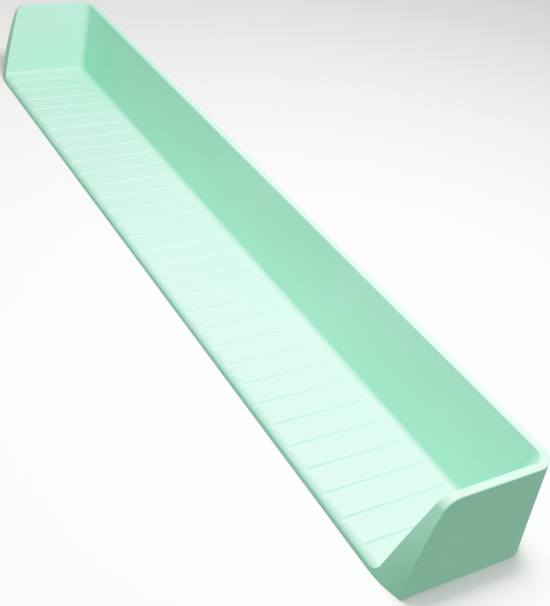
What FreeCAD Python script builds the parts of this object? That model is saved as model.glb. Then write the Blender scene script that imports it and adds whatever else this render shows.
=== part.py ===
import FreeCAD, Part
import math
import os

# Open-front ribbed shelf tray: one moulding with grooves across its floor, standing on stick-on pads.
# Millimetres. +X runs along the tray, +Y points to the back wall and +Z points up.
# The origin is under the middle of the tray, on the surface that the pads stand on.

# Inside of the tray
inner_length = 378.8          # floor length between the feet of the two end walls
floor_depth = 45.4            # foot of the back wall to the foot of the front face
wall_rise = 35.9              # floor up to the flat rim
end_wall_lean = 7.8           # how far an end wall's inner face leans outward over its rise
back_wall_lean = 5.7          # how far the back wall's inner face leans outward over its rise
floor_cove_radius = 2.4       # soft inside corner between the floor and the walls
inner_corner_radius_low = 3.6     # upright inside corner, at the floor
inner_corner_radius_high = 5.0    # upright inside corner, at the rim

# Skins of the moulding
rim_width = 3.0
skin_thickness = 2.3          # each of the two skins of a hollow wall
floor_thickness = 2.6
skirt_drop = 3.6              # floor top down to the bottom edge of the skirt
outer_draft_angle = 0.4       # degrees, outer faces spread towards the base
outer_corner_radius = 8.0     # upright outside corners at the back
rim_edge_radius = 0.5

# Front of the moulding
end_top_setback = 11.2        # front face of an end wall at the rim, behind its foot
end_front_bow = 0.8           # bulge of that slanted edge beyond a straight line, inner side
end_front_bow_outer = 1.3     # the same, outer side
end_top_radius = 6.0          # rounded top front corner of an end wall
front_edge_radius = 3.4       # rounded front edge of the floor
front_round_offset = 0.03     # how far the rounding would stand proud of the front face
corner_sweep_length = 15.0    # the front corners start to turn back this far inside the end face
corner_sweep_depth = 2.8      # and turn back this far at the base
corner_sweep_steps = 5

# Grooves across the floor
groove_pitch = 12.0
groove_end_space = 8.0        # least floor left free at each end of the row
groove_radius = 1.0
groove_depth_front = 0.85
groove_depth_back = 0.45
groove_back_space = 3.3       # centre of a groove's ball end, in front of the back wall's foot

# Hollow underside
pocket_limit = 38.0           # longest pocket between two webs of the back wall
web_thickness = 1.8
pocket_top_width = 1.0
end_relief_height = 1.0       # bottom edge of each end skirt, lifted at the front
end_relief_corner = 2.0       # corner left standing in front of the lifted edge

# Stick-on pads
pad_diameter = 10.0
pad_thickness = 1.4
pad_edge_radius = 0.3
pad_edge_distance = 9.0       # pad centre behind the front skirt and before the back wall's foot
pad_end_distance = 20.0       # pad centre inside the foot of an end wall
pad_seat_clearance = 0.25
pad_seat_ring_width = 0.8
pad_seat_ring_height = 0.6

# Worked out from the sizes above
beyond = 5.0                  # how far a cutting tool reaches past the piece it cuts
touch = 0.01                  # two heights closer than this are the same height
half_inner = inner_length / 2
recess_depth = skirt_drop - floor_thickness
base_z = pad_thickness - recess_depth
floor_z = base_z + skirt_drop
rim_z = floor_z + wall_rise
recess_z = base_z + recess_depth
body_height = rim_z - base_z
outer_slope = math.tan(math.radians(outer_draft_angle))
outer_spread = body_height * outer_slope
half_outer_rim = half_inner + end_wall_lean + rim_width
half_outer_base = half_outer_rim + outer_spread
overall_depth = floor_depth + back_wall_lean + rim_width + outer_spread
front_y = -overall_depth / 2
foot_y = front_y + floor_depth
middle_y = front_y + floor_depth / 2    # tells a front edge from a back edge
back_y = overall_depth / 2
turn_start = half_outer_base - corner_sweep_length
groove_count = int((inner_length - 2 * groove_end_space) // groove_pitch) + 1
pad_x = {
    "left": pad_end_distance - half_inner,
    "middle": 0.0,
    "right": half_inner - pad_end_distance,
}
pad_y = {
    "front": front_y + skin_thickness + pad_edge_distance,
    "back": foot_y - pad_edge_distance,
}


def vec(x, y, z):
    return FreeCAD.Vector(x, y, z)


def tray_outline(half_length, front, back, radius, z):
    """Closed outline, square at the front and rounded at the two back corners."""
    slack = radius * (1 - math.sqrt(0.5))
    left_arc = Part.Arc(vec(-half_length, back - radius, z),
                        vec(slack - half_length, back - slack, z),
                        vec(radius - half_length, back, z))
    right_arc = Part.Arc(vec(half_length - radius, back, z),
                         vec(half_length - slack, back - slack, z),
                         vec(half_length, back - radius, z))
    front_left = vec(-half_length, front, z)
    front_right = vec(half_length, front, z)
    edges = [
        Part.LineSegment(front_left, left_arc.StartPoint),
        left_arc,
        Part.LineSegment(left_arc.EndPoint, right_arc.StartPoint),
        right_arc,
        Part.LineSegment(right_arc.EndPoint, front_right),
        Part.LineSegment(front_right, front_left),
    ]
    return Part.Wire([edge.toShape() for edge in edges])


def drafted_solid(low, high):
    """Solid between two outlines with matching edges; a face between two straight edges is flat."""
    faces = [Part.Face(low), Part.Face(high)]
    for below, above in zip(low.OrderedEdges, high.OrderedEdges):
        if isinstance(below.Curve, Part.Line):
            below_ends = [vertex.Point for vertex in below.Vertexes]
            above_ends = [vertex.Point for vertex in above.Vertexes]
            corners = below_ends + above_ends[::-1]
            faces.append(Part.Face(Part.makePolygon(corners + corners[:1])))
        else:
            faces.append(Part.makeRuledSurface(below, above))
    shell = Part.makeShell(faces)
    shell.sewShape()
    solid = Part.makeSolid(shell)
    if solid.Volume < 0:
        solid.reverse()
    return solid


def edges_where(shape, test):
    """Edges of a shape whose bounding box passes the test."""
    return [edge for edge in shape.Edges if test(edge.BoundBox)]


def outer_block():
    """The moulding's outside before anything is cut from it."""
    low = tray_outline(half_outer_base, front_y - beyond, back_y, outer_corner_radius, base_z)
    high = tray_outline(half_outer_rim, front_y - beyond, back_y - outer_spread, outer_corner_radius, rim_z)
    return drafted_solid(low, high)


def front_point(x, z, turn):
    """Point of the front face; turn is 0 along the front and 1 at the end face of the base."""
    height = (z - base_z) / body_height
    bow = end_front_bow + (end_front_bow_outer - end_front_bow) * turn
    setback = end_top_setback * height - 4 * bow * height * (1 - height)
    return vec(x, front_y + corner_sweep_depth * turn * (1 - height) + setback, z)


def side_profile():
    """Side view of the space inside the tray: over the floor, round its front edge and down in front."""
    on_face = front_point(0, floor_z, 0)
    below = front_point(0, floor_z - front_edge_radius, 0)
    lean = math.atan2(on_face.y - below.y, front_edge_radius)
    downward = vec(0, -math.sin(lean), -math.cos(lean))
    reach = front_edge_radius / math.tan((math.pi / 2 + lean) / 2)
    # the corner lies slightly in front of the face, so that the rounding crosses it at a clear angle
    corner = on_face - vec(0, front_round_offset, 0)
    round_back = corner + vec(0, reach, 0)
    round_front = corner + downward * reach
    centre = round_back - vec(0, 0, front_edge_radius)
    round_middle = centre + (corner - centre).normalize() * front_edge_radius
    low = round_front + downward * ((round_front.z - base_z + beyond) / math.cos(lean))
    far_front = front_y - 2 * beyond
    far_back = back_y + beyond
    top_z = rim_z + 2 * beyond
    edges = [
        Part.LineSegment(vec(0, far_back, floor_z), round_back),
        Part.Arc(round_back, round_middle, round_front),
        Part.LineSegment(round_front, low),
        Part.LineSegment(low, vec(0, far_front, low.z)),
        Part.LineSegment(vec(0, far_front, low.z), vec(0, far_front, top_z)),
        Part.LineSegment(vec(0, far_front, top_z), vec(0, far_back, top_z)),
        Part.LineSegment(vec(0, far_back, top_z), vec(0, far_back, floor_z)),
    ]
    return Part.Face(Part.Wire([edge.toShape() for edge in edges]))


def inner_outline(z):
    """Outline of the space inside the tray at height z; the walls lean outward as they rise."""
    part = (z - floor_z) / wall_rise
    radius = inner_corner_radius_low + (inner_corner_radius_high - inner_corner_radius_low) * part
    return tray_outline(half_inner + end_wall_lean * part, front_y - 3 * beyond,
                        foot_y + back_wall_lean * part, radius, z)


def inner_space():
    """The space inside the tray, open above and at the front, with coved lower edges."""
    between_walls = drafted_solid(inner_outline(base_z - 2 * beyond), inner_outline(rim_z + beyond))
    half_width = half_outer_base + beyond
    over_floor = side_profile().translated(vec(-half_width, 0, 0)).extrude(vec(2 * half_width, 0, 0))
    space = between_walls.common(over_floor).Solids[0]
    cove_edges = edges_where(space, lambda box: box.ZMax < floor_z + touch and box.YMax > middle_y)
    space = space.makeFillet(floor_cove_radius, cove_edges)
    above_rim = Part.makeBox(2 * half_width, overall_depth + 2 * beyond, 2 * beyond,
                             vec(-half_width, front_y - beyond, rim_z))
    space = space.fuse(above_rim).Solids[0]
    # the cutter flares where it leaves the tray, which rounds the inner edge of the rim
    rim_edges = edges_where(space, lambda box: abs(box.ZMin - rim_z) < touch and box.ZLength < touch
                            and box.YMax < back_y and max(box.XMax, -box.XMin) < half_outer_rim)
    return space.makeFillet(rim_edge_radius, rim_edges)


def front_section(x, turn):
    """Section of the space in front of the tray."""
    low_z = base_z - beyond
    high_z = rim_z + beyond
    low = front_point(x, low_z, turn)
    high = front_point(x, high_z, turn)
    far_front = front_y - 3 * beyond
    edges = [
        Part.Arc(low, front_point(x, (low_z + high_z) / 2, turn), high),
        Part.LineSegment(high, vec(x, far_front, high_z)),
        Part.LineSegment(vec(x, far_front, high_z), vec(x, far_front, low_z)),
        Part.LineSegment(vec(x, far_front, low_z), low),
    ]
    return Part.Wire([edge.toShape() for edge in edges])


def front_space():
    """Everything in front of the front face and of the slanted edges of the end walls."""
    middle = Part.Face(front_section(-turn_start, 0)).extrude(vec(2 * turn_start, 0, 0))
    space = middle
    for side in (-1, 1):
        sections = []
        for step in range(corner_sweep_steps + 1):
            part = step / corner_sweep_steps
            sections.append(front_section(side * (turn_start + corner_sweep_length * part), part ** 2))
        last = front_section(side * (half_outer_base + beyond), (1 + beyond / corner_sweep_length) ** 2)
        sections.append(last)
        space = space.fuse(Part.makeLoft(sections, True, False))
    return space


def rounded_tops(block):
    """Round the block's top front edge, which the end walls keep when the inside is cut out."""
    top_edges = edges_where(block, lambda box: box.ZMin > rim_z - touch and box.YMax < middle_y)
    return block.makeFillet(end_top_radius, top_edges)


def softened_outside(block):
    """Take the sharpness off the outer edge of the rim and of the slanted fronts below it."""
    outer_edges = edges_where(block, lambda box: box.ZMin > rim_z - touch and box.YMax > middle_y)
    return block.makeFillet(rim_edge_radius, outer_edges)


def groove_cutter():
    """Round bar with a ball end at the back that cuts the groove in the middle of the tray."""
    front_end = vec(0, front_y, floor_z + groove_radius - groove_depth_front)
    back_end = vec(0, foot_y - groove_back_space, floor_z + groove_radius - groove_depth_back)
    along = (back_end - front_end).normalize()
    upward = vec(0, -along.z, along.y) * groove_radius
    tail = front_end - along * beyond
    tip = back_end + along * groove_radius
    ball_middle = back_end + (along * groove_radius + upward) * math.sqrt(0.5)
    edges = [
        Part.LineSegment(tail, tail + upward),
        Part.LineSegment(tail + upward, back_end + upward),
        Part.Arc(back_end + upward, ball_middle, tip),
        Part.LineSegment(tip, tail),
    ]
    profile = Part.Face(Part.Wire([edge.toShape() for edge in edges]))
    return profile.revolve(tail, along, 360)


def groove_cutters():
    """The grooves across the floor, deepest in front."""
    cutter = groove_cutter()
    places = [(number - (groove_count - 1) / 2) * groove_pitch for number in range(groove_count)]
    return [cutter.translated(vec(x, 0, 0)) for x in places]


def recess():
    """The shallow space under the floor, inside the skirt."""
    depth = recess_depth + beyond
    ends_front = front_y + corner_sweep_depth + skin_thickness
    outline = tray_outline(half_outer_base - skin_thickness, ends_front, back_y - skin_thickness,
                           outer_corner_radius - skin_thickness, recess_z)
    whole = Part.Face(outline).extrude(vec(0, 0, -depth))
    front_strip = Part.makeBox(inner_length, foot_y - front_y - skin_thickness, depth,
                               vec(-half_inner, front_y + skin_thickness, recess_z - depth))
    return whole.fuse(front_strip)


def rectangle(x_low, x_high, y_low, y_high, z):
    corners = [vec(x_low, y_low, z), vec(x_high, y_low, z), vec(x_high, y_high, z), vec(x_low, y_high, z)]
    return Part.makePolygon(corners + corners[:1])


def gap_between_skins(inner_foot, outer_foot, lean, z):
    """The two faces of the hollow inside a wall, measured outward from the floor, at height z."""
    slope = lean / wall_rise
    inner = inner_foot + slope * (z - floor_z) + skin_thickness * math.hypot(1, slope)
    outer = outer_foot - outer_slope * (z - base_z) - skin_thickness
    return inner, outer


def gap_top(inner_foot, outer_foot, lean):
    """Height at which the hollow inside a wall has narrowed to its top width."""
    inner, outer = gap_between_skins(inner_foot, outer_foot, lean, base_z)
    return base_z + (outer - inner - pocket_top_width) / (lean / wall_rise + outer_slope)


def back_pockets():
    """A row of pockets in the back wall, open below, with an upright web between neighbours."""
    feet = (foot_y, back_y, back_wall_lean)
    low_z = base_z - beyond
    high_z = gap_top(*feet)
    low = gap_between_skins(*feet, low_z)
    high = gap_between_skins(*feet, high_z)
    count = math.ceil((inner_length + web_thickness) / (pocket_limit + web_thickness))
    step = (inner_length + web_thickness) / count
    pockets = []
    for number in range(count):
        x_low = number * step - half_inner
        x_high = x_low + step - web_thickness
        opening = rectangle(x_low, x_high, *low, low_z)
        top = rectangle(x_low, x_high, *high, high_z)
        pockets.append(drafted_solid(opening, top))
    return pockets


def end_pocket():
    """The pocket inside the right end wall, open below; its front follows the slanted front."""
    feet = (half_inner, half_outer_base, end_wall_lean)
    high_z = gap_top(*feet)
    sections = []
    for z in (base_z - beyond, high_z):
        y_low = front_point(0, z, 1).y + skin_thickness
        sections.append(rectangle(*gap_between_skins(*feet, z), y_low, foot_y, z))
    return drafted_solid(*sections)


def end_relief():
    """Sliver cut from the bottom edge of the right end skirt, highest behind the front corner."""
    y_high = front_y + corner_sweep_depth + end_relief_corner
    y_end = back_y - outer_corner_radius
    y_span = y_end - y_high
    drop = end_relief_height * beyond / y_span
    corners = [
        vec(half_inner, y_high, base_z - beyond),
        vec(half_inner, y_high, base_z + end_relief_height),
        vec(half_inner, y_end + beyond, base_z - drop),
        vec(half_inner, y_end + beyond, base_z - beyond),
    ]
    side = Part.Face(Part.makePolygon(corners + corners[:1]))
    return side.extrude(vec(half_outer_base - half_inner + beyond, 0, 0))


def mirrored(shape):
    """The same shape on the left side of the tray."""
    return shape.mirror(vec(0, 0, 0), vec(1, 0, 0))


def pad_seat(x, y):
    """Low ring under the floor that a pad is stuck inside."""
    inner_radius = pad_diameter / 2 + pad_seat_clearance
    foot = vec(x, y, recess_z - pad_seat_ring_height)
    # the ring reaches a little into the floor, so that the two become one moulding
    height = pad_seat_ring_height + floor_thickness / 2
    ring = Part.makeCylinder(inner_radius + pad_seat_ring_width, height, foot)
    bore = Part.makeCylinder(inner_radius, pad_seat_ring_height, foot)
    return ring.cut(bore)


def tray_shell():
    """The moulding: floor, back wall, two end walls, skirt, webs and pad seats in one piece."""
    block = outer_block().cut(front_space()).Solids[0]
    shell = softened_outside(rounded_tops(block)).cut(inner_space())
    shell = shell.cut(groove_cutters())
    end_cuts = [end_pocket(), end_relief()]
    end_cuts += [mirrored(cut) for cut in end_cuts]
    shell = shell.cut([recess()] + end_cuts + back_pockets())
    seats = [pad_seat(x, y) for x in pad_x.values() for y in pad_y.values()]
    return shell.fuse(seats)


def foot_pad(x, y):
    """Stick-on pad: flat on top against the floor, soft-edged where it stands."""
    pad = Part.makeCylinder(pad_diameter / 2, pad_thickness, vec(x, y, 0))
    standing_edge = edges_where(pad, lambda box: box.ZMax < touch)
    return pad.makeFillet(pad_edge_radius, standing_edge)


def main():
    os.makedirs("parts", exist_ok=True)
    tray_shell().exportStep("parts/tray_shell.step")
    for row, y in pad_y.items():
        for column, x in pad_x.items():
            foot_pad(x, y).exportStep(f"parts/foot_pad_{row}_{column}.step")


main()
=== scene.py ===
import math

import bpy
from mathutils import Matrix, Vector

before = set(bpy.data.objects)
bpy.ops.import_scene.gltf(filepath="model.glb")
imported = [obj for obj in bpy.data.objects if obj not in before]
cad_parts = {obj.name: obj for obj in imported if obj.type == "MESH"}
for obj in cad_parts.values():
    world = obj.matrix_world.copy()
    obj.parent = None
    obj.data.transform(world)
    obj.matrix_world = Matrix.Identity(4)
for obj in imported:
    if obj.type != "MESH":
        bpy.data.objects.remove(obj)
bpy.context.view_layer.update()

# Grooved shelf tray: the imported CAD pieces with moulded-plastic and rubber materials.
# Metres, in the part's own frame: +X along the tray, +Y towards the back wall, +Z up.

# ---- camera ----
CAMERA_PLACE = Vector((0.3492, -0.1886, 0.2508))
CAMERA_HEADING = 55.83        # degrees from +Y towards -X
CAMERA_TILT = 34.62           # degrees below the horizon
CAMERA_ROLL = 9.06            # degrees, the camera's right side is raised
CAMERA_LENS = 62.03           # mm
SENSOR_WIDTH = 36             # mm

# ---- light ----
# Each lamp: where it stands, what it faces, its two sides, watts and spread in degrees.
LAMPS = {
    "key_high": (Vector((0.08, 0.03, 0.4)), Vector((0.08, 0.03, 0)), (0.15, 0.15), 1.2, 180),
    "key_near": (Vector((0.17, 0.02, 0.4)), Vector((0.17, 0.02, 0)), (0.12, 0.12), 0.25, 180),
}
WORLD_STRENGTH = 0.23         # even light from all round
STAGE_HALF_WIDTH = 3.0        # m
STAGE_WHITE = 0.90
STAGE_ROUGHNESS = 0.9
CLIP_NEAR = 0.01              # m
CLIP_FAR = 20                 # m
TONE_POWER = 1.5              # contrast of the dark and middle tones
TONE_KNEE = 0.13              # the lower, the sooner bright tones level off
TONE_LIMIT = 2.0              # brightest light that the curve covers
TONE_STEPS = 16               # points along the curve, closer together where it is dark

# ---- plastic ----
MINT_DEEP = (0.34, 0.75, 0.51, 1)
MINT_PALE = (0.37, 0.78, 0.55, 1)
# lighter mint laid on the edges: a painted edge highlight, with some wear
MINT_WORN_AND_HIGHLIGHT = (0.51, 0.84, 0.67, 1)
GRAIN_SIZE = 0.00045          # spark-eroded mould texture
MOTTLE_SIZE = 0.004           # slight unevenness of the moulded surface
CLOUD_SIZE = 0.05             # slow drift of the colour along the moulding
EDGE_WIDTH = 0.0003           # how far softened edges and their painted highlight and wear reach
HIGHLIGHT_AND_WEAR_FROM = 0.005             # edges below this height, such as the grooves', get neither the painted highlight nor wear
EDGE_AGREEMENT = (0.97, 0.80) # softened against true surface direction, at none and at full painted highlight and wear
HIGHLIGHT_AND_WEAR_STRENGTH = (0.15, 0.55)
ROUGHNESS = (0.40, 0.50)      # varies with the mottle
GRAIN_ROUGHNESS = 0.04        # and by this much each way with the grain
MOTTLE_DEPTH = 0.00004
MOTTLE_BUMP = 0.35
GRAIN_DEPTH = 0.00002
GRAIN_BUMP = 0.30
PLASTIC_IOR = 1.49

# ---- rubber ----
RUBBER_DARK = (0.30, 0.34, 0.32, 1)
RUBBER_PALE = (0.38, 0.42, 0.40, 1)
DUST_COLOUR = (0.62, 0.64, 0.62, 1)
DUST_STRENGTH = 0.35
DUST_SIZE = 0.0016
RUBBER_GRAIN_SIZE = 0.0003
RUBBER_GRAIN_DEPTH = 0.00004
RUBBER_BUMP = 0.5
RUBBER_ROUGHNESS = (0.70, 0.92)


def make_camera():
    heading = math.radians(CAMERA_HEADING)
    tilt = math.radians(CAMERA_TILT)
    flat = math.cos(tilt)
    forward = Vector((-math.sin(heading) * flat, math.cos(heading) * flat, -math.sin(tilt)))
    level = forward.cross(Vector((0, 0, 1))).normalized()
    upright = level.cross(forward)
    roll = math.radians(CAMERA_ROLL)
    right = level * math.cos(roll) + upright * math.sin(roll)
    up = upright * math.cos(roll) - level * math.sin(roll)
    data = bpy.data.cameras.new("camera")
    data.sensor_width = SENSOR_WIDTH
    data.sensor_fit = "AUTO"
    data.lens = CAMERA_LENS
    data.clip_start = CLIP_NEAR
    data.clip_end = CLIP_FAR
    camera = bpy.data.objects.new("camera", data)
    turn = Matrix((right, up, -forward)).transposed().to_4x4()
    camera.matrix_world = Matrix.Translation(CAMERA_PLACE) @ turn
    bpy.context.collection.objects.link(camera)
    bpy.context.scene.camera = camera


def area_light(name, place, target, size, power, spread):
    data = bpy.data.lights.new(name, "AREA")
    data.shape = "RECTANGLE"
    data.size, data.size_y = size
    data.energy = power
    data.spread = math.radians(spread)
    light = bpy.data.objects.new(name, data)
    light.location = place
    light.rotation_euler = (target - place).to_track_quat("-Z", "Y").to_euler()
    bpy.context.collection.objects.link(light)


def tone(light):
    """The level shown for a scene light; a light of 1 is shown as 1."""
    level = light ** TONE_POWER
    return (1 + TONE_KNEE) * level / (level + TONE_KNEE)


def make_tone_curve():
    """Contrast as a camera gives it: deeper dark tones, and bright tones that level off."""
    settings = bpy.context.scene.view_settings
    settings.view_transform = "Standard"
    settings.use_curve_mapping = True
    mapping = settings.curve_mapping
    mapping.clip_max_x = TONE_LIMIT
    mapping.clip_max_y = TONE_LIMIT
    mapping.extend = "HORIZONTAL"
    points = mapping.curves[3].points
    points[-1].location = (TONE_LIMIT, tone(TONE_LIMIT))
    for step in range(1, TONE_STEPS):
        light = TONE_LIMIT * (step / TONE_STEPS) ** 2
        points.new(light, tone(light))
    mapping.update()


def make_stage():
    """A plain white floor, far larger than the view, that throws no light back at the tray."""
    half = STAGE_HALF_WIDTH
    mesh = bpy.data.meshes.new("floor")
    corners = [(-half, -half, 0), (half, -half, 0), (half, half, 0), (-half, half, 0)]
    mesh.from_pydata(corners, [], [(0, 1, 2, 3)])
    floor = bpy.data.objects.new("floor", mesh)
    bpy.context.collection.objects.link(floor)
    material = bpy.data.materials.new("floor")
    material.use_nodes = True
    shader = material.node_tree.nodes["Principled BSDF"]
    shader.inputs["Base Color"].default_value = (STAGE_WHITE, STAGE_WHITE, STAGE_WHITE, 1)
    shader.inputs["Roughness"].default_value = STAGE_ROUGHNESS
    mesh.materials.append(material)
    floor.visible_diffuse = False
    floor.visible_glossy = False


def make_world():
    world = bpy.data.worlds.new("world")
    world.use_nodes = True
    background = world.node_tree.nodes["Background"]
    background.inputs["Color"].default_value = (1, 1, 1, 1)
    background.inputs["Strength"].default_value = WORLD_STRENGTH
    bpy.context.scene.world = world


class Nodes:
    """Short calls for building one material's node tree."""

    def __init__(self, name):
        self.material = bpy.data.materials.new(name)
        self.material.use_nodes = True
        self.tree = self.material.node_tree
        self.shader = self.tree.nodes["Principled BSDF"]

    def add(self, kind, **settings):
        node = self.tree.nodes.new(kind)
        for name, value in settings.items():
            setattr(node, name, value)
        return node

    def link(self, output, target):
        self.tree.links.new(output, target)

    def noise(self, place, size, detail, roughness=0.5):
        node = self.add("ShaderNodeTexNoise")
        node.inputs["Scale"].default_value = 1 / size
        node.inputs["Detail"].default_value = detail
        node.inputs["Roughness"].default_value = roughness
        self.link(place, node.inputs["Vector"])
        return node.outputs["Fac"]

    def spread(self, value, low, high, to_low=0.0, to_high=1.0):
        """Map value from low..high to to_low..to_high, held at both ends."""
        node = self.add("ShaderNodeMapRange", clamp=True)
        self.link(value, node.inputs["Value"])
        node.inputs["From Min"].default_value = low
        node.inputs["From Max"].default_value = high
        node.inputs["To Min"].default_value = to_low
        node.inputs["To Max"].default_value = to_high
        return node.outputs["Result"]

    def math(self, operation, first, second):
        node = self.add("ShaderNodeMath", operation=operation)
        for socket, value in zip(node.inputs, (first, second)):
            if isinstance(value, (int, float)):
                socket.default_value = value
            else:
                self.link(value, socket)
        return node.outputs[0]

    def mix(self, factor, first, second):
        node = self.add("ShaderNodeMix", data_type="RGBA")
        self.link(factor, node.inputs["Factor"])
        for name, value in (("A", first), ("B", second)):
            socket = next(item for item in node.inputs if item.name == name and item.type == "RGBA")
            if isinstance(value, tuple):
                socket.default_value = value
            else:
                self.link(value, socket)
        return next(item for item in node.outputs if item.type == "RGBA")

    def bump(self, height, distance, strength, normal=None):
        node = self.add("ShaderNodeBump")
        node.inputs["Distance"].default_value = distance
        node.inputs["Strength"].default_value = strength
        self.link(height, node.inputs["Height"])
        if normal is not None:
            self.link(normal, node.inputs["Normal"])
        return node.outputs["Normal"]


def mint_plastic():
    """Satin moulded plastic: fine mould grain, slow colour drift, and edges lightened by a painted
    highlight and slight wear.
    """
    nodes = Nodes("mint_plastic")
    place = nodes.add("ShaderNodeTexCoord").outputs["Object"]
    grain = nodes.noise(place, GRAIN_SIZE, 3)
    mottle = nodes.noise(place, MOTTLE_SIZE, 4, 0.6)
    cloud = nodes.noise(place, CLOUD_SIZE, 2)

    soft = nodes.add("ShaderNodeBevel", samples=6)
    soft.inputs["Radius"].default_value = EDGE_WIDTH
    true_normal = nodes.add("ShaderNodeNewGeometry").outputs["Normal"]
    agreement = nodes.add("ShaderNodeVectorMath", operation="DOT_PRODUCT")
    nodes.link(soft.outputs["Normal"], agreement.inputs[0])
    nodes.link(true_normal, agreement.inputs[1])
    edge = nodes.spread(agreement.outputs["Value"], *EDGE_AGREEMENT)
    height = nodes.add("ShaderNodeSeparateXYZ")
    nodes.link(place, height.inputs[0])
    edge = nodes.math("MULTIPLY", edge, nodes.spread(height.outputs["Z"], HIGHLIGHT_AND_WEAR_FROM, HIGHLIGHT_AND_WEAR_FROM * 1.2))
    # lighter colour on every edge above the grooves, convex and concave: painted highlight, partly
    # wear
    wear_and_highlight = nodes.math("MULTIPLY", edge, nodes.spread(mottle, 0.40, 0.60, *HIGHLIGHT_AND_WEAR_STRENGTH))

    drift = nodes.spread(nodes.math("ADD", nodes.math("MULTIPLY", cloud, 0.7),
                                    nodes.math("MULTIPLY", mottle, 0.3)), 0.35, 0.65)
    colour = nodes.mix(drift, MINT_DEEP, MINT_PALE)
    colour = nodes.mix(wear_and_highlight, colour, MINT_WORN_AND_HIGHLIGHT)
    nodes.link(colour, nodes.shader.inputs["Base Color"])

    roughness = nodes.math("ADD", nodes.spread(mottle, 0.3, 0.7, *ROUGHNESS),
                           nodes.spread(grain, 0.3, 0.7, -GRAIN_ROUGHNESS, GRAIN_ROUGHNESS))
    nodes.link(roughness, nodes.shader.inputs["Roughness"])

    normal = nodes.bump(mottle, MOTTLE_DEPTH, MOTTLE_BUMP, soft.outputs["Normal"])
    normal = nodes.bump(grain, GRAIN_DEPTH, GRAIN_BUMP, normal)
    nodes.link(normal, nodes.shader.inputs["Normal"])
    nodes.shader.inputs["IOR"].default_value = PLASTIC_IOR
    return nodes.material


def pad_rubber():
    """Soft grey rubber with a matt grain and a scatter of dust."""
    nodes = Nodes("pad_rubber")
    place = nodes.add("ShaderNodeTexCoord").outputs["Object"]
    grain = nodes.noise(place, RUBBER_GRAIN_SIZE, 4, 0.6)
    dust = nodes.spread(nodes.noise(place, DUST_SIZE, 5, 0.7), 0.52, 0.72)
    colour = nodes.mix(nodes.spread(grain, 0.3, 0.7), RUBBER_DARK, RUBBER_PALE)
    colour = nodes.mix(nodes.math("MULTIPLY", dust, DUST_STRENGTH), colour, DUST_COLOUR)
    nodes.link(colour, nodes.shader.inputs["Base Color"])
    nodes.link(nodes.spread(dust, 0.0, 1.0, *RUBBER_ROUGHNESS), nodes.shader.inputs["Roughness"])
    nodes.link(nodes.bump(grain, RUBBER_GRAIN_DEPTH, RUBBER_BUMP), nodes.shader.inputs["Normal"])
    return nodes.material


def dress(node, material):
    """Give every material slot of a CAD node the same material."""
    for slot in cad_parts[node].material_slots:
        slot.material = material


def main():
    make_camera()
    make_tone_curve()
    make_world()
    make_stage()
    for name, settings in LAMPS.items():
        area_light(name, *settings)
    dress("tray_shell", mint_plastic())
    rubber = pad_rubber()
    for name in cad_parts:
        if name.startswith("foot_pad"):
            dress(name, rubber)


main()
